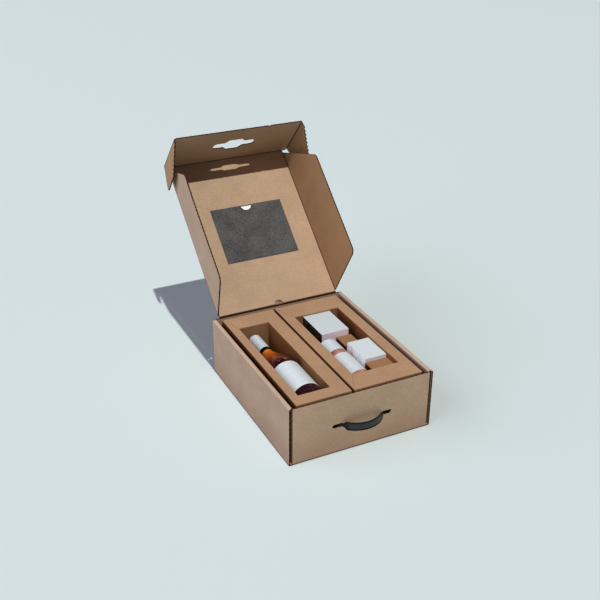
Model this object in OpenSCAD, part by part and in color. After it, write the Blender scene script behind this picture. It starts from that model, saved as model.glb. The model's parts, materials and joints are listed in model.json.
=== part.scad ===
// Corrugated gift box with an open lid, folded inserts and the packed goods.
// Origin at the middle of the underside, X to the right, Y to the back, Z up.

/* [Board] */
// Thickness of the corrugated board
board = 3; // [2:0.1:4]
// Clear gap at a fold between two panels that move
fold_gap = 0.3; // [0.2:0.05:0.6]
// Outer radius of a fold that stays as it is
fold_r = 2; // [0.5:0.1:4]

/* [Base] */
// Outer width
base_w = 340; // [330:1:400]
// Outer length, front to back
base_l = 410; // [400:1:470]
// Outer height of the side walls
base_h = 140; // [135:1:180]
// Space between the two boards of a rolled side wall
wall_hollow = 3.6; // [3.2:0.1:6]
// How far the front panel stays below the side walls
front_drop = 2.5; // [0:0.5:8]
// How far the front panel overlaps the hollow of a side wall
front_cover = 1.4; // [0.5:0.1:2.5]
// Radius of the half-round tab at the hinge
tab_r = 11; // [6:0.5:18]

/* [Lid] */
// Opening angle of the lid, from closed
lid_open = 139; // [110:1:150]
// Gap between the closed lid's side flap and the wall beside it
flap_side_gap = 4; // [2:0.1:5]
// How far the front flap's fold lies ahead of the base
lid_overhang = 2; // [1.9:0.1:5]
// Clear gap round the hinge tab in the lid
tab_clear = 0.8; // [0.6:0.1:3]

/* [Side flaps] */
// Angle of both side flaps from flat
side_fold = 84; // [70:1:90]
// Depth of a side flap
side_depth = 135; // [90:1:135]
// Start of the fold, from the hinge
side_start = 6; // [4:1:20]
// Lean of the back edge away from square
side_back_run = 37; // [20:1:60]
// Distance of the fold's front end from the front fold
side_front_gap = 8; // [6:0.5:20]
// How far the slanted front end runs back, along the fold
side_slant_run = 91; // [60:1:110]
// Corner radius at the back of the free edge
side_back_r = 16; // [5:1:25]
// Corner radius at the front of the free edge
side_front_r = 20; // [8:1:28]
// Length of the wave-cut stretch on the left flap's free edge
side_wave_run = 31; // [12:1:60]

/* [Front flap] */
// Angle of the front flap from flat
front_fold = 92; // [80:1:95]
// Depth of the front flap
front_depth = 139; // [120:1:140]
// Length of the pass-through cut-out
cut_l = 110; // [90:1:130]
// Height of the cut-out at its ends
cut_end_h = 23; // [16:0.5:30]
// Height of the cut-out in the middle
cut_mid_h = 46; // [34:0.5:56]
// Length of the high middle of the cut-out
cut_mid_l = 52; // [40:1:64]
// Distance of the cut-out's middle from the fold
cut_depth = 73; // [60:0.5:80]
// Distance of the notch in the free edge from the middle
notch_x = 79; // [60:1:120]
// Width of the notch
notch_w = 9; // [4:0.5:16]
// Depth of the notch
notch_depth = 2.5; // [1:0.1:4]

/* [Ears] */
// Angle of the left ear from flat
left_ear_fold = 82; // [80:1:84]
// Angle of the right ear from flat
right_ear_fold = 74; // [60:1:84]
// Depth of an ear
ear_depth = 68; // [50:1:70]
// Start of an ear, from the front fold
ear_start = 7; // [6:0.5:12]
// Length of the straight outer edge of an ear
ear_edge = 72; // [40:1:78]
// Corner radius of an ear
ear_r = 7; // [2:0.5:12]
// Pitch of the wave-cut edges
wave_pitch = 7; // [3:0.1:9]
// Depth of the wave-cut edges
wave_depth = 3.2; // [0.5:0.1:5]

/* [Card] */
// Width of the card sleeve
sleeve_w = 187; // [120:1:240]
// Height of the card sleeve
sleeve_h = 146; // [100:1:180]
// Thickness of one leaf of the sleeve
sleeve_leaf = 0.5; // [0.3:0.05:0.8]
// Distance of the sleeve's middle from the hinge
sleeve_s = 200; // [160:1:240]
// Distance of the sleeve's middle from the lid's middle
sleeve_x = 4; // [-20:1:20]
// Radius of the thumb notch
thumb_r = 14; // [8:0.5:20]
// Thickness of the card in the sleeve
card_t = 0.4; // [0.25:0.05:0.6]
// Margin between the card and the sleeve's edge
card_margin = 3; // [1.5:0.5:8]

/* [Inserts] */
// Distance of the insert tops below the side walls' tops
insert_drop = 2; // [1.8:0.1:6]
// Gap between an insert and the side wall
insert_side_gap = 11; // [8:0.1:14]
// Gap between the inserts and the front panel
insert_front_gap = 7; // [6.5:0.1:12]
// Gap between the inserts and the back panel
insert_back_gap = 5; // [4:0.5:18]
// Gap between the two inserts
insert_mid_gap = 5.7; // [4:0.1:14]
// Width of the bottle insert
bottle_insert_w = 128; // [115:0.5:135]
// Depth of the lips on the long sides
lip_depth = 10; // [6:0.5:14]
// How far the end legs stay in from the long sides
leg_inset = 12; // [8:0.5:18]
// Depth of the bottle well
bottle_well_depth = 74.7; // [60:0.1:90]
// Depth of the goods well
goods_well_depth = 66; // [50:0.5:75]
// Rim left of the bottle well
bottle_rim_left = 18.9; // [12:0.1:30]
// Share of the bottle insert's spare length that lies in front of the well
bottle_front_share = 0.36; // [0.2:0.01:0.6]
// Rim left of the goods well
goods_rim_left = 24.4; // [12:0.1:32]
// Share of the goods insert's spare length that lies in front of the well
goods_front_share = 0.47; // [0.2:0.005:0.7]
// Width of the open seam at a mitred rim corner
seam_w = 0.7; // [0.4:0.1:1.5]
// Depth of that seam
seam_depth = 1.2; // [0.5:0.1:2]

/* [Wine bottle] */
// Diameter of the wine bottle
wine_d = 73.2; // [66:0.1:78]
// Length of the wine bottle with its cap
wine_l = 300; // [280:1:310]
// Free length left in the bottle well
wine_spare = 6; // [0:0.5:12]
// Length of its straight body
wine_body = 150; // [120:1:165]
// Length of its bare neck
wine_neck_l = 14; // [4:1:24]
// Diameter of its cap
wine_cap_d = 30; // [27:0.1:34]
// Length of its cap
wine_cap_l = 60; // [40:1:65]
// Wall of its cap
wine_cap_wall = 0.8; // [0.4:0.1:1.5]
// Length of the neck ring
ring_l = 4; // [2:0.5:8]
// Start of the label, from the bottle's foot
wine_label_start = 30; // [15:1:50]
// Length of the label along the bottle
wine_label_l = 100; // [60:1:110]
// Thickness of a label
label_t = 0.25; // [0.15:0.05:0.5]

/* [Cosmetic bottle] */
// Diameter of the cosmetic bottle
lotion_d = 57.6; // [50:0.2:60]
// Length of its body
lotion_body = 120; // [100:1:130]
// Length of its cap
lotion_cap_l = 47.6; // [30:0.2:55]
// Wall of its cap
lotion_cap_wall = 2; // [1:0.1:4]
// Diameter of its neck
lotion_neck_d = 34; // [24:0.5:40]
// Start of its label, from the foot
lotion_label_start = 21; // [8:0.5:28]
// Length of its label
lotion_label_l = 80; // [60:1:90]

/* [Cartons] */
// Width of the large carton
large_w = 70; // [60:0.5:75]
// Length of the large carton
large_l = 96; // [80:0.5:100]
// Height of the large carton
large_h = 62; // [50:0.5:65]
// Width of the small carton
small_w = 54; // [45:0.5:58]
// Length of the small carton
small_l = 81; // [60:0.5:90]
// Height of the small carton
small_h = 57; // [45:0.5:60]
// Radius of the cartons' upright edges
carton_r = 1.2; // [0.5:0.1:3]
// Gap left of the large carton
large_rim = 22; // [5:0.5:30]
// Gap between two things in the goods well
goods_gap = 0.6; // [0.4:0.1:1.5]
// Gap between the cosmetic bottle's cap and the large carton
cap_gap = 14; // [4:0.5:20]
// Height of the divider's bridge above the well floor
bridge_h = 48; // [30:0.5:54]
// Height of the divider's front ledge above the well floor
ledge_h = 53; // [30:0.5:58]
// Length of the divider's front ledge
ledge_l = 48; // [25:0.5:50]

/* [Strap handle] */
// Height of the strap's middle above the floor
strap_z = 67; // [55:0.5:85]
// Distance of a neck from the middle
strap_half = 50; // [42:0.5:60]
// How far the strap bows out
strap_bow = 24; // [16:0.5:30]
// How far the strap droops below level
strap_droop = 2; // [0:1:10]
// Thickness of the strap
strap_t = 2.2; // [1.4:0.1:3]
// Height of the grip
grip_h = 18.5; // [12:0.5:22]
// How far the raised edges stand out from the strap's face
strap_rim = 0.6; // [0.2:0.1:1]
// Width of the raised edges
strap_rim_w = 1.6; // [0.8:0.1:2.2]
// Height of a neck
neck_h = 5; // [3.5:0.1:5.6]
// Height of an anchor tongue behind the panel
tongue_h = 11; // [9.4:0.1:12]
// Length of an anchor tongue
tongue_l = 16; // [10:0.5:24]
// Length of a slot in the front panel
slot_l = 25; // [22:0.5:30]
// Height of a slot in the front panel
slot_h = 8.6; // [8.4:0.1:9.2]

/* [Hidden] */
$fn = 64;
overrun = 1;
arc_steps = 7;
grip_share = 0.84;
kraft = "#b8926a";
kraft_in = "#c09a72";

// Places that follow from the sizes above
half_w = base_w / 2;
half_l = base_l / 2;
wall_t = board * 2 + wall_hollow;
wall_mid = half_w - wall_t / 2;
roll_r = wall_t / 2;
roll_z = base_h - roll_r;
front_half = half_w - wall_t + front_cover;
fold_back = board / 2 + fold_gap;
hinge_y = half_l - board / 2;
hinge_z = base_h + fold_back;
side_x = half_w - wall_t - flap_side_gap - board / 2;
lid_l = base_l + lid_overhang - board / 2;
side_end = lid_l - side_front_gap;
ear_x = wall_mid;
slot_x = strap_half + slot_l / 2 - slot_h / 2;

insert_top = base_h - insert_drop;
insert_y0 = -half_l + board + insert_front_gap;
insert_y1 = half_l - board - insert_back_gap;
insert_l = insert_y1 - insert_y0;
bottle_x0 = -half_w + wall_t + insert_side_gap;
bottle_x1 = bottle_x0 + bottle_insert_w;
goods_x0 = bottle_x1 + insert_mid_gap;
goods_x1 = half_w - wall_t - insert_side_gap;
well_gap = 0.5;
seat_gap = 0.05;

bottle_floor = insert_top - bottle_well_depth;
bottle_well_x = bottle_x0 + bottle_rim_left;
bottle_well_w = wine_d + well_gap * 2;
bottle_well_l = wine_l + wine_spare + well_gap * 2;
bottle_well_y = insert_y0 + (insert_l - bottle_well_l) * bottle_front_share;
wine_x = bottle_well_x + bottle_well_w / 2;
wine_y = bottle_well_y + well_gap + wine_spare / 2;
wine_z = bottle_floor + wine_d / 2 + seat_gap;
wine_neck_r = wine_cap_d / 2 - wine_cap_wall;
wine_shoulder = wine_l - wine_cap_l - ring_l - wine_neck_l - wine_body;

goods_floor = insert_top - goods_well_depth;
goods_well_x = goods_x0 + goods_rim_left;
goods_well_w = lotion_d + small_w + goods_gap * 2 + well_gap * 2;
goods_well_l = lotion_body + lotion_cap_l + cap_gap + large_l + well_gap * 2;
goods_well_y = insert_y0 + (insert_l - goods_well_l) * goods_front_share;
lotion_x = goods_well_x + well_gap + lotion_d / 2;
lotion_y = goods_well_y + well_gap;
lotion_z = goods_floor + lotion_d / 2 + seat_gap;
goods_well_end = goods_well_y + goods_well_l;
large_y = goods_well_end - well_gap - large_l;
bridge_edge = 17;
large_x = goods_well_x + large_rim;
small_x = goods_well_x + goods_well_w - well_gap - small_w;
small_y = goods_well_y + well_gap + ledge_l + goods_gap;

// Point lists
function unit(v) = v / norm(v);
function turned(v) = [-v[1], v[0]];
function arc_points(c, r, a0, sweep, n) =
    [for (k = [0 : n]) c + r * [cos(a0 + sweep * k / n), sin(a0 + sweep * k / n)]];
function short_turn(a) = a > 180 ? a - 360 : a < -180 ? a + 360 : a;
function corner_arc(p, before, after, r) =
    let (
        u = unit(before - p),
        v = unit(after - p),
        half = acos(u * v) / 2,
        c = p + unit(u + v) * r / sin(half),
        from = p + u * r / tan(half) - c,
        to = p + v * r / tan(half) - c,
        a0 = atan2(from[1], from[0]),
        a1 = atan2(to[1], to[0])
    )
    arc_points(c, r, a0, short_turn(a1 - a0), arc_steps);
// Outline from corners given as [point, radius]
function outline(corners) = [
    for (i = [0 : len(corners) - 1])
        let (
            n = len(corners),
            p = corners[i][0],
            before = corners[(i + n - 1) % n][0],
            after = corners[(i + 1) % n][0]
        )
        each corners[i][1] > 0 ? corner_arc(p, before, after, corners[i][1]) : [p]
];
// Zigzag between two points, as corners without radius
function wave_cut(p, q) =
    let (
        teeth = max(2, round(norm(q - p) / wave_pitch)),
        across = turned(unit(q - p)) * wave_depth
    )
    [for (i = [0 : teeth * 2]) [p + (q - p) * i / (teeth * 2) + across * (i % 2), 0]];
// Closed outline of a band of even thickness along a path
function path_normal(path, i) =
    let (
        a = path[max(i - 1, 0)],
        b = path[min(i + 1, len(path) - 1)]
    )
    turned(unit(b - a));
function band(path, t) = concat(
    [for (i = [0 : len(path) - 1]) path[i] + path_normal(path, i) * t / 2],
    [for (i = [len(path) - 1 : -1 : 0]) path[i] - path_normal(path, i) * t / 2]
);

// Frames of the folded panels
module in_lid() {
    translate([0, hinge_y, hinge_z])
        rotate([-lid_open, 0, 0])
            children();
}
module in_front() {
    in_lid()
        translate([0, -lid_l, 0])
            rotate([front_fold, 0, 0])
                children();
}
// Flat panel of board in its middle plane
module sheet(points) {
    translate([0, 0, -board / 2])
        linear_extrude(board)
            polygon(points);
}
// Round fold edge along Y or X
module fold_y(y0, y1) {
    translate([0, y1, 0])
        rotate([90, 0, 0])
            cylinder(r = board / 2, h = y1 - y0);
}
module fold_x(x0, x1) {
    translate([x0, 0, 0])
        rotate([0, 90, 0])
            cylinder(r = board / 2, h = x1 - x0);
}
// Solid along Y from a profile in X and Z
module along_y(y0, y1) {
    translate([0, y1, 0])
        rotate([90, 0, 0])
            linear_extrude(y1 - y0)
                children();
}
// Solid along X from a profile in Y and Z
module along_x(x0, x1) {
    translate([x0, 0, 0])
        rotate([90, 0, 90])
            linear_extrude(x1 - x0)
                children();
}
module block(p, q) {
    translate(p)
        cube(q - p);
}

// Half profile of the rolled wall, with the floor up to the middle
module wall_profile() {
    difference() {
        union() {
            translate([half_w - wall_t, 0])
                square([wall_t, roll_z]);
            translate([wall_mid, roll_z])
                circle(roll_r);
            square([half_w - wall_t / 2, board]);
        }
        translate([half_w - wall_t + board, board])
            square([wall_hollow, roll_z - board]);
        translate([wall_mid, roll_z])
            circle(wall_hollow / 2);
        translate([half_w - fold_r, 0])
            difference() {
                translate([0, -overrun])
                    square([fold_r + overrun, fold_r + overrun]);
                translate([0, fold_r])
                    circle(fold_r);
            }
    }
}
module outer_half() {
    intersection() {
        wall_profile();
        union() {
            translate([wall_mid, 0])
                square([roll_r, base_h]);
            square([half_w, board]);
        }
    }
}
// Long section that rounds the front and back lower edges
module long_section() {
    polygon(outline([
        [[-half_l, 0], fold_r], [[half_l, 0], fold_r],
        [[half_l, base_h + tab_r], 0], [[-half_l, base_h + tab_r], 0]
    ]));
}
module round_slot(l, h) {
    square([l - h, h], center = true);
    for (side = [-1, 1])
        translate([side * (l - h) / 2, 0])
            circle(h / 2);
}

module base_tray() {
    inner_y = half_l - board - fold_gap;
    color(kraft)
        intersection() {
            along_x(-half_w, half_w)
                long_section();
            union() {
                for (flip = [0, 1])
                    mirror([flip, 0, 0]) {
                        along_y(-inner_y, inner_y)
                            wall_profile();
                        along_y(-half_l, half_l)
                            outer_half();
                    }
                along_y(-half_l, -half_l + board)
                    difference() {
                        translate([-front_half, 0])
                            square([front_half * 2, base_h - front_drop]);
                        for (side = [-1, 1])
                            translate([side * slot_x, strap_z])
                                round_slot(slot_l, slot_h);
                    }
                along_y(half_l - board, half_l) {
                    translate([-front_half, 0])
                        square([front_half * 2, base_h]);
                    translate([0, base_h])
                        circle(tab_r);
                }
            }
        }
}

module lid_panel() {
    half = side_x - fold_back;
    color(kraft_in)
        in_lid()
            difference() {
                union() {
                    sheet([
                        [-half, 0], [half, 0],
                        [half, -lid_l + fold_back], [-half, -lid_l + fold_back]
                    ]);
                    fold_x(-half, half);
                }
                translate([0, 0, -board])
                    cylinder(r = tab_r + tab_clear, h = board * 2);
            }
}

// Side flap of the right side, flat, with its fold along Y at the origin
module side_flap_flat(waved) {
    tip = [side_depth, side_slant_run - side_end];
    wave_end = tip + [-wave_depth, side_front_r];
    sheet(outline(concat(
        [
            [[0, -side_end], 0],
            [[0, -side_start], 0],
            [[side_depth, -side_start - side_back_run], side_back_r],
        ],
        waved ? wave_cut(wave_end + [0, side_wave_run], wave_end) : [],
        waved ? [[[side_depth, wave_end[1]], 0]] : [],
        [[tip, side_front_r]]
    )));
    fold_y(-side_end, -side_start);
}
module right_side_flap() {
    color(kraft_in)
        in_lid()
            translate([side_x, 0, 0])
                rotate([0, side_fold, 0])
                    side_flap_flat(false);
}
module left_side_flap() {
    color(kraft_in)
        in_lid()
            mirror([1, 0, 0])
                translate([side_x, 0, 0])
                    rotate([0, side_fold, 0])
                        side_flap_flat(true);
}

// Cut-out that the strap passes through when the flap is down
module pass_through() {
    half = cut_mid_l / 2;
    ramp = cut_mid_l / 5;
    end = cut_end_h / 2 - overrun;
    high = cut_mid_h / 2;
    round_slot(cut_l, cut_end_h);
    polygon(outline(concat(
        [[[half, -end], 0], [[half, end], 0]],
        [[[half - ramp, high], ramp], [[ramp - half, high], ramp]],
        [[[-half, end], 0], [[-half, -end], 0]],
        wave_cut([ramp - half, -high], [half - ramp, -high])
    )));
}
module front_flap() {
    half = ear_x - fold_back;
    color(kraft)
        in_front() {
            difference() {
                sheet([
                    [-half, 0], [half, 0],
                    [half, -front_depth],
                    [notch_x + notch_w / 2, -front_depth],
                    [notch_x + notch_w / 3, -front_depth + notch_depth],
                    [notch_x - notch_w / 3, -front_depth + notch_depth],
                    [notch_x - notch_w / 2, -front_depth],
                    [-half, -front_depth]
                ]);
                translate([0, -cut_depth, -board])
                    linear_extrude(board * 2)
                        pass_through();
            }
            fold_x(-half, half);
        }
}

// Ear of the right side, flat, with its fold along Y at the origin
module ear_flat() {
    last = front_depth - board;
    sheet(outline(concat(
        [
            [[0, -ear_start], 0],
            [[ear_depth, -ear_start], ear_r],
        ],
        wave_cut([ear_depth, -ear_start - ear_edge], [0, -last])
    )));
    fold_y(-last, -ear_start);
}
module right_ear() {
    color(kraft)
        in_front()
            translate([ear_x, 0, 0])
                rotate([0, right_ear_fold, 0])
                    ear_flat();
}
module left_ear() {
    color(kraft)
        in_front()
            mirror([1, 0, 0])
                translate([ear_x, 0, 0])
                    rotate([0, left_ear_fold, 0])
                        ear_flat();
}

module card_sleeve() {
    t = sleeve_leaf * 2 + card_t + seat_gap * 2;
    color("#2b2b2d")
        in_lid()
            translate([sleeve_x, -sleeve_s, -board / 2 - t])
                difference() {
                    translate([-sleeve_w / 2, -sleeve_h / 2, 0])
                        cube([sleeve_w, sleeve_h, t]);
                    translate([card_margin - sleeve_w / 2, -sleeve_h / 2 - overrun, sleeve_leaf])
                        cube([
                            sleeve_w - card_margin * 2, sleeve_h - card_margin + overrun,
                            card_t + seat_gap * 2
                        ]);
                    translate([0, -sleeve_h / 2, -overrun])
                        cylinder(r = thumb_r, h = sleeve_leaf + overrun);
                }
}
module greeting_card() {
    gap = card_margin + seat_gap * 2;
    color("white")
        in_lid()
            translate([sleeve_x, -sleeve_s, -board / 2 - sleeve_leaf - card_t - seat_gap])
                translate([gap - sleeve_w / 2, card_margin - sleeve_h / 2, 0])
                    cube([sleeve_w - gap * 2, sleeve_h - gap - card_margin, card_t]);
}

// Open seam where two rim strips meet at a mitre
module seam(p, q) {
    run = q - p;
    past = seam_w * 3;
    translate([p[0], p[1], insert_top - seam_depth])
        rotate([0, 0, atan2(run[1], run[0])])
            translate([-past, -seam_w / 2, 0])
                cube([norm(run) + past * 2, seam_w, seam_depth + overrun]);
}
// Folded insert with a rim, end legs, short side lips and a well
module insert(x0, x1, well_x, well_w, well_y, well_l, floor_z) {
    rim = board + lip_depth;
    difference() {
        intersection() {
            along_y(insert_y0, insert_y1)
                polygon(outline([
                    [[x0, board], 0], [[x1, board], 0],
                    [[x1, insert_top], fold_r], [[x0, insert_top], fold_r]
                ]));
            along_x(x0, x1)
                polygon(outline([
                    [[insert_y0, board], 0], [[insert_y1, board], 0],
                    [[insert_y1, insert_top], fold_r], [[insert_y0, insert_top], fold_r]
                ]));
        }
        block(
            [x0 + board, insert_y0 + board, 0],
            [x1 - board, insert_y1 - board, insert_top - board]
        );
        for (x = [x0 - overrun, x1 - leg_inset])
            block(
                [x, insert_y0 - overrun, 0],
                [x + leg_inset + overrun, insert_y1 + overrun, insert_top - rim]
            );
        block(
            [well_x, well_y, board],
            [well_x + well_w, well_y + well_l, insert_top + overrun]
        );
    }
    difference() {
        block(
            [well_x - board, well_y - board, floor_z - board],
            [well_x + well_w + board, well_y + well_l + board, insert_top - board]
        );
        block(
            [well_x, well_y, floor_z],
            [well_x + well_w, well_y + well_l, insert_top + overrun]
        );
    }
}
module bottle_insert() {
    back = bottle_well_y + bottle_well_l;
    color(kraft_in)
        difference() {
            insert(
                bottle_x0, bottle_x1, bottle_well_x, bottle_well_w,
                bottle_well_y, bottle_well_l, bottle_floor
            );
            seam([bottle_well_x, back], [bottle_x0, insert_y1]);
        }
}
module goods_insert() {
    color(kraft_in)
        difference() {
            insert(
                goods_x0, goods_x1, goods_well_x, goods_well_w,
                goods_well_y, goods_well_l, goods_floor
            );
            seam([goods_well_x, goods_well_end], [goods_x0, insert_y1]);
            seam([goods_well_x, goods_well_y], [goods_x0, insert_y0]);
        }
}

// One folded strip: front ledge, seat of the small carton, bridge and back leg
module goods_divider() {
    x0 = small_x;
    x1 = small_x + small_w;
    y0 = goods_well_y + well_gap;
    y1 = small_y + small_l + goods_gap;
    y2 = large_y - goods_gap;
    z0 = goods_floor + seat_gap;
    ledge = z0 + ledge_h;
    bridge = z0 + bridge_h;
    color(kraft_in)
        difference() {
            along_x(x0, x1) {
                difference() {
                    polygon(outline([
                        [[y0, z0], 0], [[y0 + ledge_l, z0], 0],
                        [[y0 + ledge_l, ledge], fold_r], [[y0, ledge], fold_r]
                    ]));
                    translate([y0 + board, z0 - overrun])
                        square([ledge_l - board * 2, ledge_h - board + overrun]);
                }
                translate([y0 + ledge_l - board, z0])
                    square([y1 - y0 - ledge_l + board * 2, board]);
                difference() {
                    polygon(outline([
                        [[y1, z0], 0], [[y2, z0], 0],
                        [[y2, bridge], fold_r], [[y1, bridge], fold_r]
                    ]));
                    translate([y1 + board, z0 - overrun])
                        square([y2 - y1 - board * 2, bridge_h - board + overrun]);
                }
            }
            block(
                [x1 - bridge_edge, y1 - goods_gap, z0 - overrun],
                [x1 + overrun, y2 + overrun, bridge + overrun]
            );
        }
}

// Solid of revolution lying along Y with its foot to the front
module lying(p) {
    translate(p)
        rotate([-90, 0, 0])
            children();
}
module wine_bottle() {
    r = wine_d / 2;
    foot_r = wine_d / 12;
    neck = wine_neck_r - seat_gap;
    top = wine_l - wine_cap_wall - seat_gap;
    color("#5a3a1e")
        lying([wine_x, wine_y, wine_z])
            rotate_extrude()
                polygon(outline([
                    [[0, 0], 0], [[r, 0], foot_r],
                    [[r, wine_body], wine_shoulder],
                    [[neck, wine_body + wine_shoulder], wine_shoulder],
                    [[neck, top], 0], [[0, top], 0]
                ]));
}
module wine_cap() {
    r = wine_cap_d / 2;
    start = wine_l - wine_cap_l;
    color("#e9e9ea")
        lying([wine_x, wine_y, wine_z])
            difference() {
                translate([0, 0, start])
                    rotate_extrude()
                        polygon(outline([
                            [[0, 0], 0], [[r, 0], 0],
                            [[r, wine_cap_l], wine_cap_wall * 2], [[0, wine_cap_l], 0]
                        ]));
                translate([0, 0, start - overrun])
                    cylinder(r = wine_neck_r, h = wine_cap_l - wine_cap_wall + overrun);
            }
}
module neck_ring() {
    start = wine_l - wine_cap_l - ring_l - seat_gap;
    color("#222022")
        lying([wine_x, wine_y, wine_z])
            translate([0, 0, start])
                difference() {
                    cylinder(r = wine_cap_d / 2, h = ring_l);
                    translate([0, 0, -overrun])
                        cylinder(r = wine_neck_r, h = ring_l + overrun * 2);
                }
}
// Label that wraps the upper side of a lying bottle
module label(r, l, below) {
    difference() {
        cylinder(r = r + label_t + seat_gap, h = l);
        translate([0, 0, -overrun])
            cylinder(r = r + seat_gap, h = l + overrun * 2);
        translate([-r - overrun, below, -overrun])
            cube([(r + overrun) * 2, r + overrun, l + overrun * 2]);
    }
}
module wine_label() {
    color("#ece6df")
        lying([wine_x, wine_y, wine_z])
            translate([0, 0, wine_label_start])
                label(wine_d / 2, wine_label_l, wine_d / 6);
}

module lotion_bottle() {
    r = lotion_d / 2;
    edge = lotion_d / 12;
    neck = lotion_neck_d / 2;
    top = lotion_body + lotion_cap_l - lotion_cap_wall - seat_gap;
    color("#d9b9a4")
        lying([lotion_x, lotion_y, lotion_z])
            rotate_extrude()
                polygon(outline([
                    [[0, 0], 0], [[r, 0], edge], [[r, lotion_body], edge / 2],
                    [[neck, lotion_body], 0], [[neck, top], 0], [[0, top], 0]
                ]));
}
module lotion_cap() {
    r = lotion_d / 2 - label_t;
    color("#f2f1ee")
        lying([lotion_x, lotion_y, lotion_z])
            translate([0, 0, lotion_body + seat_gap])
                difference() {
                    rotate_extrude()
                        polygon(outline([
                            [[0, 0], 0], [[r, 0], 0],
                            [[r, lotion_cap_l], lotion_cap_wall], [[0, lotion_cap_l], 0]
                        ]));
                    translate([0, 0, -overrun])
                        cylinder(
                            d = lotion_neck_d + seat_gap * 2,
                            h = lotion_cap_l - lotion_cap_wall + overrun
                        );
                }
}
module lotion_label() {
    color("#f3eeea")
        lying([lotion_x, lotion_y, lotion_z])
            translate([0, 0, lotion_label_start])
                label(lotion_d / 2, lotion_label_l, lotion_d / 6);
}

// Closed carton with the slit of its tuck flap
module carton(p, w, l, h) {
    slit = board / 8;
    translate(p)
        difference() {
            linear_extrude(h)
                polygon(outline([
                    [[0, 0], carton_r], [[w, 0], carton_r],
                    [[w, l], carton_r], [[0, l], carton_r]
                ]));
            translate([carton_r, -overrun, h - board / 2])
                cube([w - carton_r * 2, overrun + board / 2, slit]);
        }
}
module large_carton() {
    color("#e7ddd8")
        carton([large_x, large_y, goods_floor + seat_gap], large_w, large_l, large_h);
}
module small_carton() {
    color("#e9dedb")
        carton(
            [small_x, small_y, goods_floor + seat_gap * 2 + board],
            small_w, small_l, small_h
        );
}

// Path of half the strap, from the middle to the end of the tongue
function strap_path() =
    let (
        face = -half_l,
        big = (strap_half * strap_half + strap_bow * strap_bow) / (strap_bow * 2),
        reach = asin(strap_half / big),
        mid = [0, face - strap_bow + big],
        behind = face + board + insert_front_gap / 2,
        turn = strap_half + board * 2
    )
    concat(
        arc_points(mid, big, -90 - reach, reach * 2, arc_steps * 3),
        [[turn, behind - strap_t / 4], [turn + board, behind], [turn + board + tongue_l, behind]]
    );
function strap_full() =
    let (
        right = strap_path(),
        last = len(right) - 1
    )
    concat([for (i = [last : -1 : last - 2]) [-right[i][0], right[i][1]]], right);
// Front view of the strap, or of its sunk face when the rim is taken off
module strap_front(rim) {
    grip = grip_h / 2 - rim;
    neck = neck_h / 2 - rim;
    tongue = tongue_h / 2;
    knee = strap_half - board;
    end = strap_half + board * 3;
    far = strap_half + tongue_l * 2;
    wide = strap_half * grip_share - rim;
    half = concat(
        [[[wide, -grip], board], [[knee, -neck], board], [[end, -neck], 0]],
        rim > 0 ? [] : [for (p = [[end, -1], [far, -1], [far, 1], [end, 1]]) [[p[0], tongue * p[1]], 0]],
        [[[end, neck], 0], [[knee, neck], board], [[wide, grip], board]]
    );
    last = len(half) - 1;
    polygon(outline(concat(
        half,
        [for (i = [last : -1 : 0]) [[-half[i][0][0], half[i][0][1]], half[i][1]]]
    )));
}
module strap_band(t) {
    translate([0, 0, -grip_h])
        linear_extrude(grip_h * 2)
            polygon(band(strap_full(), t));
}
module strap_handle() {
    color("#23262b")
        translate([0, -half_l + board / 2, strap_z])
            rotate([strap_droop, 0, 0])
                translate([0, half_l - board / 2, 0])
                    difference() {
                        intersection() {
                            strap_band(strap_t + strap_rim * 2);
                            along_y(-half_l - strap_bow * 2, -half_l + board * 6)
                                strap_front(0);
                        }
                        difference() {
                            along_y(-half_l - strap_bow * 2, -half_l)
                                strap_front(strap_rim_w);
                            strap_band(strap_t);
                        }
                    }
}

base_tray();
lid_panel();
left_side_flap();
right_side_flap();
front_flap();
left_ear();
right_ear();
strap_handle();
card_sleeve();
greeting_card();
bottle_insert();
goods_insert();
goods_divider();
wine_bottle();
wine_cap();
neck_ring();
wine_label();
lotion_bottle();
lotion_cap();
lotion_label();
large_carton();
small_carton();
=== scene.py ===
import json
import math

import bmesh
import bpy
from mathutils import Matrix, Vector


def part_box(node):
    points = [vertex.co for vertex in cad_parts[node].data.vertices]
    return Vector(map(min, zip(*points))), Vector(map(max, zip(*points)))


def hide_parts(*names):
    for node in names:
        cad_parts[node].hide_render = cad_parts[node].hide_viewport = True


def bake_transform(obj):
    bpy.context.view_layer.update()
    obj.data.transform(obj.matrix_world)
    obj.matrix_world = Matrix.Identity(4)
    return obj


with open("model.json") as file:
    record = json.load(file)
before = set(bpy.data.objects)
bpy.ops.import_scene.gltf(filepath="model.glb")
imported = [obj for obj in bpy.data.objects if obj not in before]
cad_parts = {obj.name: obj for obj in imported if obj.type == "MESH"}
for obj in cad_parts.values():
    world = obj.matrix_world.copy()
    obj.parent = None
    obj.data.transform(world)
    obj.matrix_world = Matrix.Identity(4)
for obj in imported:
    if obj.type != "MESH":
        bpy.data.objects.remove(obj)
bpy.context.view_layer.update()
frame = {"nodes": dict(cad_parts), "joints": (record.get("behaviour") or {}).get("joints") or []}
mmPerMetre = 1000


def linear(hexColour):  # sRGB hex to the linear values that shaders take
    parts = [int(hexColour[i:i + 2], 16) / 255 for i in (1, 3, 5)]
    return tuple(c / 12.92 if c <= 0.04045 else ((c + 0.055) / 1.055) ** 2.4 for c in parts) + (1.0,)


def dimmed(colour, factor):
    return tuple(min(1.0, c * factor) for c in colour[:3]) + (1.0,)


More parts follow.
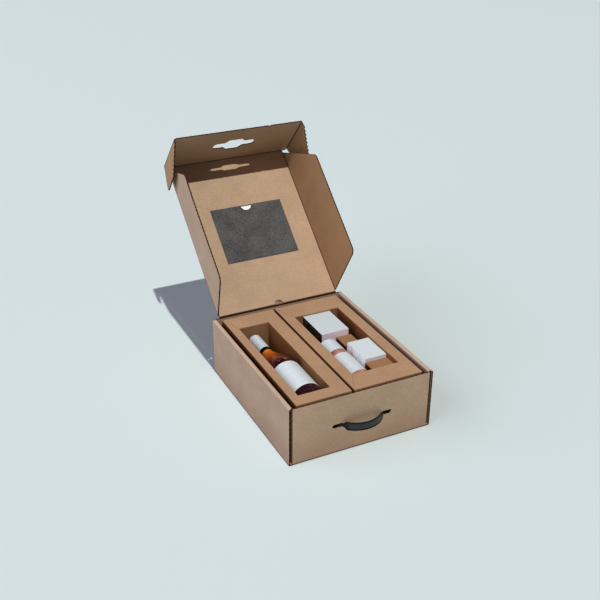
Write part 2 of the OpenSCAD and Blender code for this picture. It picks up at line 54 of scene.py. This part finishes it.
def addNode(tree, kind, values=None, links=None, stops=None, **settings):
    node = tree.nodes.new(kind)
    for key, value in settings.items():
        setattr(node, key, value)
    for key, value in (values or {}).items():
        node.inputs[key].default_value = value
    for key, (source, output) in (links or {}).items():
        tree.links.new(source.outputs[output], node.inputs[key])
    if stops:
        elements = node.color_ramp.elements
        while len(elements) < len(stops):
            elements.new(0.5)
        for element, (position, colour) in zip(elements, stops):
            element.position = position
            element.color = colour
    return node


def newMaterial(name, **sockets):
    mat = bpy.data.materials.new(name)
    mat.use_nodes = True
    shader = mat.node_tree.nodes["Principled BSDF"]
    for key, value in sockets.items():
        shader.inputs[key.replace("_", " ")].default_value = value
    return mat, mat.node_tree, shader


def dress(material, *names):
    for name in names:
        mesh = frame["nodes"][name].data
        mesh.materials.clear()
        mesh.materials.append(material)


# Camera at the photograph's place, image taken as 600 by 600
camera = {
    "place": (-0.8472, -1.6136, 1.2040),
    "forward": (0.3942, 0.7934, -0.4639),
    "right": (0.8969, -0.4422, 0.0060),
    "focalPixels": 946.9,
    "imagePixels": 600,
    "sensorMm": 36.0,
    "nearest": 0.01,
}


def makeCamera(c):
    data = bpy.data.cameras.new("camera")
    obj = bpy.data.objects.new("camera", data)
    bpy.context.collection.objects.link(obj)
    forward = Vector(c["forward"]).normalized()
    right = Vector(c["right"])
    right = (right - forward * right.dot(forward)).normalized()
    up = right.cross(forward)
    turn = Matrix((right, up, -forward)).transposed().to_4x4()
    obj.matrix_world = Matrix.Translation(Vector(c["place"])) @ turn
    data.sensor_width = c["sensorMm"]
    data.lens = c["focalPixels"] / c["imagePixels"] * c["sensorMm"]
    data.clip_start = c["nearest"]
    bpy.context.scene.camera = obj


makeCamera(camera)
print("camera set")


# Pale painted sweep with one high crisp key from the front and a broad cool fill from the left;
# the board inside gets a warm fill in its place, for the light that kraft throws back
studio = {
    "floor": "#c6d1cc",
    "floorSize": 30.0,
    "floorDropMm": 0.5,
    "keyTowards": (0.0, -0.38, 0.925),
    "keyStrength": 2.33,
    "keySpread": 1.0,
    "fillTowards": (-0.92, 0.05, 0.38),
    "fillColour": "#e0e3ff",
    "fillStrength": 3.25,
    "panelSize": 52.0,  # far and wide, so that the floor is lit evenly
    "panelAway": 40.0,
    "bounceColour": "#ffdfc2",
    "bounceStrength": 1.75,
    "sky": "#eddcee",
    "skyStrength": 0.135,
    "view": "Standard",
    "look": "Medium High Contrast",
    "boardInside": ["lid_panel", "right_side_flap", "front_flap", "left_ear", "right_ear", "bottle_insert",
                    "goods_insert", "goods_divider"],
}


def makeSun(name, towards, strength, spread):
    data = bpy.data.lights.new(name, "SUN")
    data.energy = strength
    data.angle = math.radians(spread)
    obj = bpy.data.objects.new(name, data)
    obj.rotation_euler = Vector(towards).to_track_quat("Z", "Y").to_euler()
    bpy.context.collection.objects.link(obj)
    return obj


def makePanel(name, towards, strength, s, colour):
    data = bpy.data.lights.new(name, "AREA")
    data.size = s["panelSize"]
    data.energy = strength * math.pi * s["panelAway"] ** 2  # power for this irradiance on the axis
    data.color = colour[:3]
    obj = bpy.data.objects.new(name, data)
    obj.location = Vector(towards).normalized() * s["panelAway"]
    obj.rotation_euler = Vector(towards).to_track_quat("Z", "Y").to_euler()
    bpy.context.collection.objects.link(obj)
    return obj


def lightGroup(name, objects, state="INCLUDE"):
    group = bpy.data.collections.new(name)
    for obj in objects:
        group.objects.link(obj)
    for row in group.collection_objects:
        row.light_linking.link_state = state
    return group


def makeStudio(s):
    half = s["floorSize"] / 2
    corners = [(-half, -half, 0), (half, -half, 0), (half, half, 0), (-half, half, 0)]
    mesh = bpy.data.meshes.new("floor")
    mesh.from_pydata(corners, [], [(0, 1, 2, 3)])
    floor = bpy.data.objects.new("floor", mesh)
    bpy.context.collection.objects.link(floor)
    floor.location.z = -s["floorDropMm"] / mmPerMetre
    mat, _, shader = newMaterial("paintedSweep", Roughness=0.9, Specular_IOR_Level=0.1)  # matt paint
    shader.inputs["Base Color"].default_value = linear(s["floor"])
    mesh.materials.append(mat)
    key = makeSun("key", s["keyTowards"], s["keyStrength"], s["keySpread"])
    passed = [frame["nodes"]["strap_handle"]]  # the key shines past the strap
    key.light_linking.blocker_collection = lightGroup("softened", passed, "EXCLUDE")
    inside = [obj for name, obj in frame["nodes"].items() if name in s["boardInside"]]
    outside = [obj for name, obj in frame["nodes"].items() if name not in s["boardInside"]]
    fill = makePanel("fill", s["fillTowards"], s["fillStrength"], s, linear(s["fillColour"]))
    fill.light_linking.receiver_collection = lightGroup("outside", outside + [floor])
    bounce = makePanel("bounce", s["fillTowards"], s["bounceStrength"], s, linear(s["bounceColour"]))
    bounce.light_linking.receiver_collection = lightGroup("inside", inside)
    world = bpy.data.worlds.new("studioAir")
    world.use_nodes = True
    background = world.node_tree.nodes["Background"]
    background.inputs["Color"].default_value = linear(s["sky"])
    background.inputs["Strength"].default_value = s["skyStrength"]
    bpy.context.scene.world = world
    bpy.context.scene.view_settings.view_transform = s["view"]
    bpy.context.scene.view_settings.look = s["look"]


makeStudio(studio)
print("floor and light set")


# Kraft liner on corrugated board: machine-made unbleached paper, so matt, a little cloudy, with short fibres,
# dark flecks and faint ridges from the flutes; cut edges show the wavy medium with painted shade in its
# hollows, and each crease is drawn as a dark line of painted shade
kraft = {
    "tone": "#b79f85",
    "insertTone": "#ac9075",
    "edge": "#5a3b24",
    # painted shade in the flute hollows of cut edges
    "fluteShade": "#1e1008",
    "edgeTurn": 0.3,  # a face with less of its normal than this along the sheet's own is a cut edge
    # painted shade in the creases
    "creaseShade": "#3a2313",
    "creaseMm": 1.8,
    "creaseFade": 2.2,  # a crease ends at this many times its width
    "flutePitchMm": 6.4,  # B flute
    "cloudMm": 60.0,
    "cloudRange": (0.94, 1.05),
    "fibreMm": 3.6,  # real fibres are finer: drawn as coarse as shows
    "fibreStretch": 0.45,
    "fibreStops": [(0.35, (0.91, 0.90, 0.89, 1)), (0.65, (1.04, 1.04, 1.04, 1))],  # times the liner's colour
    "fleckMm": 11.0,
    "fleckStops": [(0.04, (0.76, 0.72, 0.68, 1)), (0.11, (1, 1, 1, 1))],
    "fleckShare": 0.6,
    "ridgeShare": 0.25,
    "bumpStrength": 0.12,
    "bumpMm": 0.4,
}
waveRadians = 20  # what Blender's wave texture turns through in one unit at scale 1
fluteScale = 2 * math.pi * mmPerMetre / kraft["flutePitchMm"] / waveRadians

tray = {
    "wallInnerMm": 162.2,
    "frontMm": 201.5,
    "squareOn": 0.9,
    # painted shade by height: a painted contact shadow line at the floor, then darker low on the walls
    "shadeRises": [(0.0, "#43342a"), (1.9, "#43342a"), (2.9, "#ece3e4"), (70.0, "#ffffff")],  # tints by height
}
# painted shade inside the wells, below the inserts' top
inserts = {"shadeRises": [(0.0, "#dfd4c5"), (134.5, "#dfd4c5"), (136.5, "#ffffff"), (138.0, "#ffffff")]}


def wallEnds(tree, coords):  # on the tray the ends of the rolled walls and the panels' top edges are cut
    place = addNode(tree, "ShaderNodeSeparateXYZ", links={"Vector": (coords, "Object")})
    normal = addNode(tree, "ShaderNodeSeparateXYZ", links={"Vector": (coords, "Normal")})
    absX = addNode(tree, "ShaderNodeMath", links={0: (place, "X")}, operation="ABSOLUTE")
    absY = addNode(tree, "ShaderNodeMath", links={0: (place, "Y")}, operation="ABSOLUTE")
    absNy = addNode(tree, "ShaderNodeMath", links={0: (normal, "Y")}, operation="ABSOLUTE")
    wallInner = tray["wallInnerMm"] / mmPerMetre
    front = tray["frontMm"] / mmPerMetre
    square = {1: tray["squareOn"]}
    outer = addNode(tree, "ShaderNodeMath", {1: wallInner}, {0: (absX, "Value")}, operation="GREATER_THAN")
    endOn = addNode(tree, "ShaderNodeMath", square, {0: (absNy, "Value")}, operation="GREATER_THAN")
    wallEnd = addNode(tree, "ShaderNodeMath", None, {0: (outer, "Value"), 1: (endOn, "Value")},
                      operation="MULTIPLY")
    up = addNode(tree, "ShaderNodeMath", square, {0: (normal, "Z")}, operation="GREATER_THAN")
    rim = addNode(tree, "ShaderNodeMath", {1: front}, {0: (absY, "Value")}, operation="GREATER_THAN")
    inner = addNode(tree, "ShaderNodeMath", {1: wallInner}, {0: (absX, "Value")}, operation="LESS_THAN")
    top = addNode(tree, "ShaderNodeMath", None, {0: (up, "Value"), 1: (rim, "Value")}, operation="MULTIPLY")
    top = addNode(tree, "ShaderNodeMath", None, {0: (top, "Value"), 1: (inner, "Value")},
                  operation="MULTIPLY")
    return addNode(tree, "ShaderNodeMath", None, {0: (wallEnd, "Value"), 1: (top, "Value")},
                   operation="MAXIMUM")


def flatNormal(name):  # the normal that most of a sheet's area shares
    areas = {}
    for polygon in frame["nodes"][name].data.polygons:
        n = polygon.normal
        sign = 1 if (n.x, n.y, n.z) > (0, 0, 0) else -1
        key = tuple(round(c * sign, 2) for c in n)
        areas[key] = areas.get(key, 0) + polygon.area
    return Vector(max(areas, key=areas.get)).normalized()


def makeKraft(name, tone, flat=None, folds=(), ridges="X", shadeRises=None, bends=False):
    mat, tree, shader = newMaterial(name, Roughness=0.85, Specular_IOR_Level=0.25)
    coords = addNode(tree, "ShaderNodeTexCoord")
    place = (coords, "Object")
    if bends:  # a sheet that bends keeps its pattern where it was at rest
        place = (addNode(tree, "ShaderNodeAttribute", attribute_name="restPlace"), "Vector")
    base = linear(tone)
    dark, light = kraft["cloudRange"]
    cloud = addNode(tree, "ShaderNodeTexNoise", {"Scale": mmPerMetre / kraft["cloudMm"], "Detail": 3.0},
                    {"Vector": place})
    stretch = addNode(tree, "ShaderNodeMapping", {"Scale": (kraft["fibreStretch"], 1.0, 1.0)},
                      {"Vector": place})
    fibre = addNode(tree, "ShaderNodeTexNoise",
                    {"Scale": mmPerMetre / kraft["fibreMm"], "Detail": 4.0, "Roughness": 0.7},
                    {"Vector": (stretch, "Vector")})
    fleck = addNode(tree, "ShaderNodeTexVoronoi", {"Scale": mmPerMetre / kraft["fleckMm"]}, {"Vector": place})
    clouds = addNode(tree, "ShaderNodeValToRGB", links={"Fac": (cloud, "Fac")},
                     stops=[(0.3, dimmed(base, dark)), (0.7, dimmed(base, light))])
    fibres = addNode(tree, "ShaderNodeValToRGB", links={"Fac": (fibre, "Fac")}, stops=kraft["fibreStops"])
    flecks = addNode(tree, "ShaderNodeValToRGB", links={"Fac": (fleck, "Distance")},
                     stops=kraft["fleckStops"])
    paper = addNode(tree, "ShaderNodeMix", {"Factor": 1.0}, {"A": (clouds, "Color"), "B": (fibres, "Color")},
                    data_type="RGBA", blend_type="MULTIPLY")
    colour = addNode(tree, "ShaderNodeMix", {"Factor": kraft["fleckShare"]},
                     {"A": (paper, "Result"), "B": (flecks, "Color")}, data_type="RGBA",
                     blend_type="MULTIPLY")

    # Tints by height, all painted shade: darker inside the wells and low on the walls,
    # and a painted contact shadow line at the floor
    if shadeRises:
        full = shadeRises[-1][0]
        height = addNode(tree, "ShaderNodeSeparateXYZ", links={"Vector": place})
        rise = addNode(tree, "ShaderNodeMapRange", {"From Max": full / mmPerMetre}, {"Value": (height, "Z")})
        paintedShade = addNode(tree, "ShaderNodeValToRGB", links={"Fac": (rise, "Result")},
                       stops=[(mm / full, linear(tint)) for mm, tint in shadeRises])
        colour = addNode(tree, "ShaderNodeMix", {"Factor": 1.0},
                         {"A": (colour, "Result"), "B": (paintedShade, "Color")}, data_type="RGBA",
                         blend_type="MULTIPLY")

    # A dark line of painted shade along each fold
    width = kraft["creaseMm"] / mmPerMetre
    for point, run in folds:
        offset = addNode(tree, "ShaderNodeVectorMath", {1: point}, {0: place}, operation="SUBTRACT")
        across = addNode(tree, "ShaderNodeVectorMath", {1: run}, {0: (offset, "Vector")},
                         operation="CROSS_PRODUCT")
        away = addNode(tree, "ShaderNodeVectorMath", links={0: (across, "Vector")}, operation="LENGTH")
        near = addNode(tree, "ShaderNodeMapRange",
                       {"From Min": width * kraft["creaseFade"], "From Max": width},
                       {"Value": (away, "Value")})
        colour = addNode(tree, "ShaderNodeMix", {"B": linear(kraft["creaseShade"])},
                         {"Factor": (near, "Result"), "A": (colour, "Result")}, data_type="RGBA")

    # Cut edges with the wavy medium between the liners, and painted shade in the flute hollows
    flutes = addNode(tree, "ShaderNodeTexWave", {"Scale": fluteScale, "Distortion": 1.5, "Detail": 1.0},
                     {"Vector": place}, bands_direction="DIAGONAL")
    edge = addNode(tree, "ShaderNodeValToRGB", links={"Fac": (flutes, "Fac")},
                   stops=[(0.25, linear(kraft["fluteShade"])), (0.75, linear(kraft["edge"]))])
    if bends:
        isEdge = addNode(tree, "ShaderNodeAttribute", attribute_name="cutEdge")
        edgeMask = (isEdge, "Fac")
    elif flat:
        facing = addNode(tree, "ShaderNodeVectorMath", {1: flat}, {0: (coords, "Normal")},
                         operation="DOT_PRODUCT")
        side = addNode(tree, "ShaderNodeMath", links={0: (facing, "Value")}, operation="ABSOLUTE")
        isEdge = addNode(tree, "ShaderNodeMath", {1: kraft["edgeTurn"]}, {0: (side, "Value")},
                         operation="LESS_THAN")
        edgeMask = (isEdge, "Value")
    else:
        edgeMask = (wallEnds(tree, coords), "Value")
    mixed = addNode(tree, "ShaderNodeMix", None,
                    {"Factor": edgeMask, "A": (colour, "Result"), "B": (edge, "Color")}, data_type="RGBA")
    tree.links.new(mixed.outputs["Result"], shader.inputs["Base Color"])

    # The flutes show faintly through the liner
    wash = addNode(tree, "ShaderNodeTexWave", {"Scale": fluteScale, "Distortion": 0.3}, {"Vector": place},
                   bands_direction=ridges)
    relief = addNode(tree, "ShaderNodeMath", {1: kraft["ridgeShare"]}, {0: (wash, "Fac"), 2: (fibre, "Fac")},
                     operation="MULTIPLY_ADD")
    bump = addNode(tree, "ShaderNodeBump",
                   {"Strength": kraft["bumpStrength"], "Distance": kraft["bumpMm"] / mmPerMetre},
                   {"Height": (relief, "Value")})
    tree.links.new(bump.outputs["Normal"], shader.inputs["Normal"])
    return mat


# Ears of the front flap, die cut with a scalloped edge, so that the cut shows no sharp liner; millimetres
ears = {
    "along": (0.0, -0.6820, 0.7314),  # their folds, from the lid to the flap's free edge
    "turns": {"left_ear": 82.0, "right_ear": 74.0},  # degrees from flat
    "start": 7.0,
    "last": 136.0,
    "depth": 68.0,
    "shoulder": 11.0,
    "farEdge": 73.0,
    "cornerRadius": 7.0,
    "cornerSteps": 6,
    "boardMm": 3.0,
    "foldRoundShare": 0.48,
    "foldSegments": 5,
    "scallopPitch": 10.0,
    "scallopDepth": 4.6,
    "scallopSteps": 6,
    "creaseSpan": (0.5, 4.5),
}

joints = {j["name"]: (Vector(j["pos_m"]), Vector(j["axis"])) for j in frame["joints"]}
hinge = joints["lid_hinge"]
frontFold = joints["front_flap_fold"]
earFolds = {name: (joints[name + "_fold"][0], Vector(ears["along"])) for name in ears["turns"]}
sheets = {
    "lid_panel": [hinge, frontFold, joints["left_flap_fold"], joints["right_flap_fold"]],
    "left_side_flap": [joints["left_flap_fold"]],
    "right_side_flap": [joints["right_flap_fold"]],
    "front_flap": [frontFold, earFolds["left_ear"], earFolds["right_ear"]],
}
for name, folds in sheets.items():
    dress(makeKraft("kraftLiner_" + name, kraft["tone"], flatNormal(name), folds), name)
dress(makeKraft("kraftLiner_tray", kraft["tone"], None, [hinge], "Y", tray["shadeRises"]), "base_tray")
dress(makeKraft("kraftLiner_insert", kraft["insertTone"], None, [], "Y", inserts["shadeRises"]),
      "bottle_insert", "goods_insert", "goods_divider")
print("board dressed")


def earOutline(e):  # across the fold and along it
    half = e["boardMm"] / 2
    radius = e["cornerRadius"]
    points = [(-half, e["start"])]
    for i in range(e["cornerSteps"] + 1):
        angle = math.radians(90 * i / e["cornerSteps"] - 90)
        points.append((e["depth"] - radius + radius * math.cos(angle),
                       e["start"] + radius + radius * math.sin(angle)))
    far = Vector((e["depth"], e["farEdge"]))
    run = Vector((e["shoulder"], e["last"])) - far
    out = Vector((run.y, -run.x)).normalized()
    steps = round(run.length / e["scallopPitch"]) * e["scallopSteps"]
    for i in range(steps + 1):
        lobe = abs(math.sin(math.pi * i / e["scallopSteps"])) - 1
        points.append(tuple(far + run * i / steps + out * e["scallopDepth"] * lobe))
    points.append((-half, e["last"]))
    return points


def makeEar(name, e):
    hand = -1 if name == "left_ear" else 1
    turn = math.radians(e["turns"][name])
    half = e["boardMm"] / 2
    origin = earFolds[name][0] * mmPerMetre
    along = Vector(e["along"])
    outward = along.cross(Vector((1, 0, 0)))
    across = Vector((hand * math.cos(turn), 0, 0)) - outward * math.sin(turn)
    through = along.cross(across).normalized()
    mesh = bpy.data.meshes.new(name + "_board")
    shape = bmesh.new()
    low, high = [[shape.verts.new((origin + across * t + along * r + through * side) / mmPerMetre)
                  for t, r in earOutline(e)] for side in (-half, half)]
    shape.faces.new(low)
    shape.faces.new(high)
    for i in range(len(low)):
        shape.faces.new((low[i - 1], low[i], high[i], high[i - 1]))
    fold = [shape.edges.get((row[0], row[-1])) for row in (low, high)]
    bmesh.ops.bevel(shape, geom=fold, offset=e["boardMm"] * e["foldRoundShare"] / mmPerMetre,
                    segments=e["foldSegments"], affect="EDGES", profile=0.5)
    bmesh.ops.triangulate(shape, faces=[face for face in shape.faces if len(face.verts) > 4])
    bmesh.ops.recalc_face_normals(shape, faces=shape.faces)
    shape.to_mesh(mesh)
    shape.free()
    restPlace = mesh.attributes.new("restPlace", "FLOAT_VECTOR", "POINT")
    for vertex, row in zip(mesh.vertices, restPlace.data):
        row.vector = vertex.co
    cutEdge = mesh.attributes.new("cutEdge", "FLOAT", "FACE")
    for face, row in zip(mesh.polygons, cutEdge.data):
        row.value = 1.0 if abs(face.normal.dot(through)) < kraft["edgeTurn"] else 0.0
    ear = bpy.data.objects.new(name + "_board", mesh)
    bpy.context.collection.objects.link(ear)
    mesh.materials.append(makeKraft("kraftLiner_" + name, kraft["tone"], None, [earFolds[name]], bends=True))
    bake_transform(ear)  # the ear's place is baked into its mesh
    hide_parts(name)
    bpy.data.collections["inside"].objects.link(ear)


for name in ears["turns"]:
    makeEar(name, ears)
print("ears cut")


# Polypropylene strap, injection moulded: a grained blue-grey face, with painted shade making its rims and
# neck ends near-black
strap = {
    # painted shade on the rims and neck ends
    "rim": "#060607",
    "face": "#333a40",
    "faceDark": "#22272b",
    "grainMm": 2.4,  # moulded grain is finer: drawn as coarse as shows
    "grainStrength": 0.2,
    "grainDepthMm": 0.2,
    "middleMm": 66.4,
    "faceHighMm": 12.4,
    "faceLongMm": 78.0,
}
mat, tree, shader = newMaterial("mouldedPolypropylene", Roughness=0.4, IOR=1.49)
coords = addNode(tree, "ShaderNodeTexCoord")
place = addNode(tree, "ShaderNodeSeparateXYZ", links={"Vector": (coords, "Object")})
grain = addNode(tree, "ShaderNodeTexNoise", {"Scale": mmPerMetre / strap["grainMm"], "Detail": 3.0},
                {"Vector": (coords, "Object")})
tone = addNode(tree, "ShaderNodeValToRGB", links={"Fac": (grain, "Fac")},
               stops=[(0.3, linear(strap["faceDark"])), (0.7, linear(strap["face"]))])
height = addNode(tree, "ShaderNodeMath", {1: strap["middleMm"] / mmPerMetre}, {0: (place, "Z")},
                 operation="SUBTRACT")
height = addNode(tree, "ShaderNodeMath", links={0: (height, "Value")}, operation="ABSOLUTE")
high = addNode(tree, "ShaderNodeMath", {1: strap["faceHighMm"] / 2 / mmPerMetre}, {0: (height, "Value")},
               operation="GREATER_THAN")
reach = addNode(tree, "ShaderNodeMath", links={0: (place, "X")}, operation="ABSOLUTE")
long = addNode(tree, "ShaderNodeMath", {1: strap["faceLongMm"] / 2 / mmPerMetre}, {0: (reach, "Value")},
               operation="GREATER_THAN")
# painted shade: rims and neck ends darker than the face
onShadedRim = addNode(tree, "ShaderNodeMath", None, {0: (high, "Value"), 1: (long, "Value")}, operation="MAXIMUM")
mixed = addNode(tree, "ShaderNodeMix", {"B": linear(strap["rim"])},
                {"Factor": (onShadedRim, "Value"), "A": (tone, "Color")}, data_type="RGBA")
tree.links.new(mixed.outputs["Result"], shader.inputs["Base Color"])
bump = addNode(tree, "ShaderNodeBump",
               {"Strength": strap["grainStrength"], "Distance": strap["grainDepthMm"] / mmPerMetre},
               {"Height": (grain, "Fac")})
tree.links.new(bump.outputs["Normal"], shader.inputs["Normal"])
dress(mat, "strap_handle")
print("strap dressed")


# Black card dyed in the pulp, felt-marked: a rough leathery grain with paler rubbed patches
sleeve = {
    "dark": "#232322",
    "pale": "#676764",
    "grainMm": 3.4,  # the felt mark is finer: drawn as coarse as shows
    "grainStrength": 0.5,
    "grainDepthMm": 0.3,
    "rubMm": 38.0,
    "rubShare": 0.3,
}
mat, tree, shader = newMaterial("feltMarkedBlackCard", Roughness=0.7)
coords = addNode(tree, "ShaderNodeTexCoord")
grain = addNode(tree, "ShaderNodeTexNoise",
                {"Scale": mmPerMetre / sleeve["grainMm"], "Detail": 6.0, "Roughness": 0.75},
                {"Vector": (coords, "Object")})
rub = addNode(tree, "ShaderNodeTexNoise", {"Scale": mmPerMetre / sleeve["rubMm"], "Detail": 4.0},
              {"Vector": (coords, "Object")})
both = addNode(tree, "ShaderNodeMath", {1: sleeve["rubShare"]}, {0: (rub, "Fac"), 2: (grain, "Fac")},
               operation="MULTIPLY_ADD")
tone = addNode(tree, "ShaderNodeValToRGB", links={"Fac": (both, "Value")},
               stops=[(0.46, linear(sleeve["dark"])), (0.84, linear(sleeve["pale"]))])
tree.links.new(tone.outputs["Color"], shader.inputs["Base Color"])
bump = addNode(tree, "ShaderNodeBump",
               {"Strength": sleeve["grainStrength"], "Distance": sleeve["grainDepthMm"] / mmPerMetre},
               {"Height": (grain, "Fac")})
tree.links.new(bump.outputs["Normal"], shader.inputs["Normal"])
dress(mat, "card_sleeve")
print("sleeve dressed")


def mottledFinish(name, m, *nodes):  # an uneven tone, with a tooth where the surface has one
    mat, tree, shader = newMaterial(name, **m["sockets"])
    coords = addNode(tree, "ShaderNodeTexCoord")
    mottle = addNode(tree, "ShaderNodeTexNoise",
                     {"Scale": mmPerMetre / m["mottleMm"], "Detail": m["detail"]},
                     {"Vector": (coords, "Object")})
    low, high = m["spread"]
    tone = addNode(tree, "ShaderNodeValToRGB", links={"Fac": (mottle, "Fac")},
                   stops=[(low, linear(m["deep"])), (high, linear(m["pale"]))])
    tree.links.new(tone.outputs["Color"], shader.inputs["Base Color"])
    if "toothMm" in m:
        bump = addNode(tree, "ShaderNodeBump",
                       {"Strength": m["toothStrength"], "Distance": m["toothMm"] / mmPerMetre},
                       {"Height": (mottle, "Fac")})
        tree.links.new(bump.outputs["Normal"], shader.inputs["Normal"])
    dress(mat, *nodes)


# Uncoated white card and label paper: matt, with a faint tooth, which is finer and drawn as coarse as shows
whiteCard = {
    "pale": "#f1f3f1",
    "deep": "#e6e8e4",
    "mottleMm": 9.0,
    "detail": 4.0,
    "spread": (0.35, 0.6),
    "toothStrength": 0.05,
    "toothMm": 0.2,
    "sockets": {"Roughness": 0.65},
}
labelPaper = {**whiteCard, "pale": "#c9d2cf", "deep": "#c7cbca", "sockets": {"Roughness": 0.55}}
mottledFinish("uncoatedWhiteCard", whiteCard, "greeting_card")
mottledFinish("uncoatedLabelPaper", labelPaper, "wine_label", "lotion_label")
print("cards and labels dressed")

# Moulded neck ring: black plastic like the strap's, a little smoother
ring = {
    "pale": "#101112",
    "deep": "#070708",
    "mottleMm": 2.0,
    "detail": 2.0,
    "spread": (0.3, 0.7),
    "sockets": {"Roughness": 0.3, "IOR": 1.49},
}
mottledFinish("blackRingPlastic", ring, "neck_ring")

# Lacquered aluminium cap and moulded polypropylene cap: white and satin, with a faint mottle
caps = {
    "pale": "#ccd6d6",
    "deep": "#c3cbcc",
    "mottleMm": 6.0,
    "detail": 2.0,
    "spread": (0.3, 0.7),
    "sockets": {"Roughness": 0.32, "IOR": 1.5},
}
mottledFinish("whiteLacquer", caps, "wine_cap", "lotion_cap")

# Tinted PET bottle, blow moulded, with peach lotion in it: glossy, with a cloudy tint
pet = {
    "pale": "#c39484",
    "deep": "#8f5443",
    "mottleMm": 26.0,
    "detail": 2.0,
    "spread": (0.35, 0.65),
    "sockets": {"Roughness": 0.1, "IOR": 1.57},
}
mottledFinish("tintedPet", pet, "lotion_bottle")
print("ring, caps and lotion bottle dressed")


# Blown bottle glass, full: amber where the wine is thin at the neck, dark red where it is deep, with painted
# glints as patches of painted highlight, and a black seal round the top of the neck
wine = {
    "toneShares": [(0.12, "#2c0b14"), (0.47, "#2c0b14"), (0.6, "#8a3d16"), (0.72, "#cf7420")],  # foot first
    "glint": "#b07a6a",
    "glintMm": 11.0,
    "glintSpread": (0.58, 0.7),
    "glintShare": 0.5,
    "collar": "#0a0a0b",
    "collarMm": 67.5,  # where the seal starts along the bottle
}
low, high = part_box("wine_bottle")
mat, tree, shader = newMaterial("blownBottleGlass", Roughness=0.05, IOR=1.52)
coords = addNode(tree, "ShaderNodeTexCoord")
place = addNode(tree, "ShaderNodeSeparateXYZ", links={"Vector": (coords, "Object")})
along = addNode(tree, "ShaderNodeMapRange", {"From Min": low.y, "From Max": high.y}, {"Value": (place, "Y")})
swirl = addNode(tree, "ShaderNodeTexNoise",
                {"Scale": mmPerMetre / wine["glintMm"], "Detail": 2.0, "Distortion": 1.2},
                {"Vector": (coords, "Object")})
tone = addNode(tree, "ShaderNodeValToRGB", links={"Fac": (along, "Result")},
               stops=[(share, linear(tint)) for share, tint in wine["toneShares"]])
faint, clear = wine["glintSpread"]
# painted glints: pale patches of painted highlight
lit = addNode(tree, "ShaderNodeMapRange",
              {"From Min": faint, "From Max": clear, "To Max": wine["glintShare"]},
              {"Value": (swirl, "Fac")})
mixed = addNode(tree, "ShaderNodeMix", {"B": linear(wine["glint"])},
                {"Factor": (lit, "Result"), "A": (tone, "Color")}, data_type="RGBA")
sealed = addNode(tree, "ShaderNodeMath", {1: wine["collarMm"] / mmPerMetre}, {0: (place, "Y")},
                 operation="GREATER_THAN")
mixed = addNode(tree, "ShaderNodeMix", {"B": linear(wine["collar"])},
                {"Factor": (sealed, "Value"), "A": (mixed, "Result")}, data_type="RGBA")
tree.links.new(mixed.outputs["Result"], shader.inputs["Base Color"])
dress(mat, "wine_bottle")
print("wine bottle dressed")


# Folding boxboard, offset printed: white tops, sides that fade to pink, and a marbled field on the left side,
# dark on the large carton
boxPrint = {"veinMm": 16.0, "veinSpread": (0.5, 0.66), "fadeSpread": (0.3, 1.0), "squareOn": 0.7}
cartons = {
    "large_carton": {"top": "#c1cac8", "high": "#eadfe1", "low": "#e0c2c5", "left": "#221d18",
                     "vein": "#8d7f68"},
    "small_carton": {"top": "#c6d0cc", "high": "#e2dfe0", "low": "#e0cfcf", "left": "#f0f0ee",
                     "vein": "#dbd2d2"},
}


def makeBoxboard(name, c):
    low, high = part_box(name)
    pink, white = boxPrint["fadeSpread"]
    ground, vein = boxPrint["veinSpread"]
    mat, tree, shader = newMaterial("printedBoxboard_" + name, Roughness=0.45)
    coords = addNode(tree, "ShaderNodeTexCoord")
    normal = addNode(tree, "ShaderNodeSeparateXYZ", links={"Vector": (coords, "Normal")})
    place = addNode(tree, "ShaderNodeSeparateXYZ", links={"Vector": (coords, "Object")})
    fade = addNode(tree, "ShaderNodeMapRange", {"From Min": low.z, "From Max": high.z},
                   {"Value": (place, "Z")})
    sides = addNode(tree, "ShaderNodeValToRGB", links={"Fac": (fade, "Result")},
                    stops=[(pink, linear(c["low"])), (white, linear(c["high"]))])
    veins = addNode(tree, "ShaderNodeTexNoise",
                    {"Scale": mmPerMetre / boxPrint["veinMm"], "Detail": 4.0, "Distortion": 2.0},
                    {"Vector": (coords, "Object")})
    field = addNode(tree, "ShaderNodeValToRGB", links={"Fac": (veins, "Fac")},
                    stops=[(ground, linear(c["left"])), (vein, linear(c["vein"]))])
    isLeft = addNode(tree, "ShaderNodeMath", {1: -boxPrint["squareOn"]}, {0: (normal, "X")},
                     operation="LESS_THAN")
    isTop = addNode(tree, "ShaderNodeMath", {1: boxPrint["squareOn"]}, {0: (normal, "Z")},
                    operation="GREATER_THAN")
    mixed = addNode(tree, "ShaderNodeMix", None,
                    {"Factor": (isLeft, "Value"), "A": (sides, "Color"), "B": (field, "Color")},
                    data_type="RGBA")
    mixed = addNode(tree, "ShaderNodeMix", {"B": linear(c["top"])},
                    {"Factor": (isTop, "Value"), "A": (mixed, "Result")}, data_type="RGBA")
    tree.links.new(mixed.outputs["Result"], shader.inputs["Base Color"])
    return mat


for name, c in cartons.items():
    dress(makeBoxboard(name, c), name)
print("cartons dressed")
